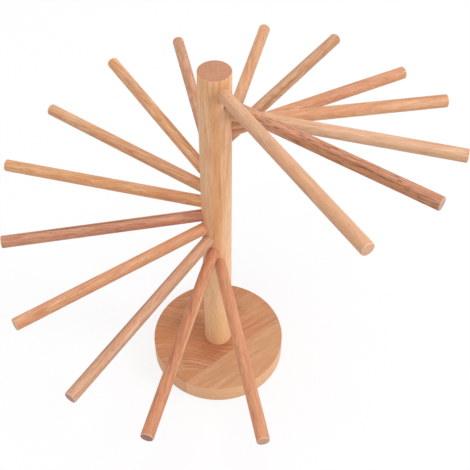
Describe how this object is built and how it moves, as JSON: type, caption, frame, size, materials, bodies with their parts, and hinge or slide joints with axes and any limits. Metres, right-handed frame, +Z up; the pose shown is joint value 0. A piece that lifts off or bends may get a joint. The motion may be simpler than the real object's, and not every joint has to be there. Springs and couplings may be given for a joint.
{
  "type": "pasta drying rack",
  "caption": "Wooden pasta drying rack: a round base, a dowel column and straight rods plugged into it one above another in a full-turn spiral.",
  "frame": {"origin": "centre of the round base's underside, on the column's centre line", "axes": "+Z up along the column; the lowest rod points about to -Y, the third and fourth rods about to +X"},
  "size_m": [0.4265, 0.4354, 0.401],
  "materials": {
    "rod_beech": "turned beech dowel, lightly oiled",
    "column_beech": "turned beech dowel, lightly oiled",
    "base_beech": "planed and sanded beech, lightly oiled",
    "screw_steel": "zinc-plated steel"
  },
  "bodies": {
    "stand": {"base_board_rear": "base_beech", "base_board_front": "base_beech", "column": "column_beech", "base_screw": "screw_steel"},
    "rod_01": {"rod_01": "rod_beech"},
    "rod_02": {"rod_02": "rod_beech"},
    "rod_03": {"rod_03": "rod_beech"},
    "rod_04": {"rod_04": "rod_beech"},
    "rod_05": {"rod_05": "rod_beech"},
    "rod_06": {"rod_06": "rod_beech"},
    "rod_07": {"rod_07": "rod_beech"},
    "rod_08": {"rod_08": "rod_beech"},
    "rod_09": {"rod_09": "rod_beech"},
    "rod_10": {"rod_10": "rod_beech"},
    "rod_11": {"rod_11": "rod_beech"},
    "rod_12": {"rod_12": "rod_beech"},
    "rod_13": {"rod_13": "rod_beech"},
    "rod_14": {"rod_14": "rod_beech"},
    "rod_15": {"rod_15": "rod_beech"},
    "rod_16": {"rod_16": "rod_beech"}
  },
  "joints": [
    {"name": "rod_01_pull", "type": "slide", "parent": "stand", "child": "rod_01", "axis": [0.4878, -0.8728, 0.014], "range_m": [0, 0.02]},
    {"name": "rod_02_pull", "type": "slide", "parent": "stand", "child": "rod_02", "axis": [0.8018, -0.5976, -0.0035], "range_m": [0, 0.02]},
    {"name": "rod_03_pull", "type": "slide", "parent": "stand", "child": "rod_03", "axis": [0.9612, -0.2756, -0.0052], "range_m": [0, 0.02]},
    {"name": "rod_04_pull", "type": "slide", "parent": "stand", "child": "rod_04", "axis": [0.9895, 0.1444, -0.0087], "range_m": [0, 0.02]},
    {"name": "rod_05_pull", "type": "slide", "parent": "stand", "child": "rod_05", "axis": [0.8941, 0.4477, -0.014], "range_m": [0, 0.02]},
    {"name": "rod_06_pull", "type": "slide", "parent": "stand", "child": "rod_06", "axis": [0.5918, 0.8057, -0.0244], "range_m": [0, 0.02]},
    {"name": "rod_07_pull", "type": "slide", "parent": "stand", "child": "rod_07", "axis": [0.2537, 0.9672, -0.0087], "range_m": [0, 0.02]},
    {"name": "rod_08_pull", "type": "slide", "parent": "stand", "child": "rod_08", "axis": [-0.1839, 0.9828, -0.0192], "range_m": [0, 0.02]},
    {"name": "rod_09_pull", "type": "slide", "parent": "stand", "child": "rod_09", "axis": [-0.506, 0.8625, 0.0035], "range_m": [0, 0.02]},
    {"name": "rod_10_pull", "type": "slide", "parent": "stand", "child": "rod_10", "axis": [-0.8018, 0.5976, -0.0052], "range_m": [0, 0.02]},
    {"name": "rod_11_pull", "type": "slide", "parent": "stand", "child": "rod_11", "axis": [-0.9668, 0.2554, 0.0122], "range_m": [0, 0.02]},
    {"name": "rod_12_pull", "type": "slide", "parent": "stand", "child": "rod_12", "axis": [-0.9869, -0.1616, -0.0017], "range_m": [0, 0.02]},
    {"name": "rod_13_pull", "type": "slide", "parent": "stand", "child": "rod_13", "axis": [-0.8329, -0.5534, -0.0052], "range_m": [0, 0.02]},
    {"name": "rod_14_pull", "type": "slide", "parent": "stand", "child": "rod_14", "axis": [-0.5676, -0.8228, -0.0297], "range_m": [0, 0.02]},
    {"name": "rod_15_pull", "type": "slide", "parent": "stand", "child": "rod_15", "axis": [-0.2706, -0.9627, -0.0087], "range_m": [0, 0.02]},
    {"name": "rod_16_pull", "type": "slide", "parent": "stand", "child": "rod_16", "axis": [0.1719, -0.9851, -0.0087], "range_m": [0, 0.02]}
  ]
}
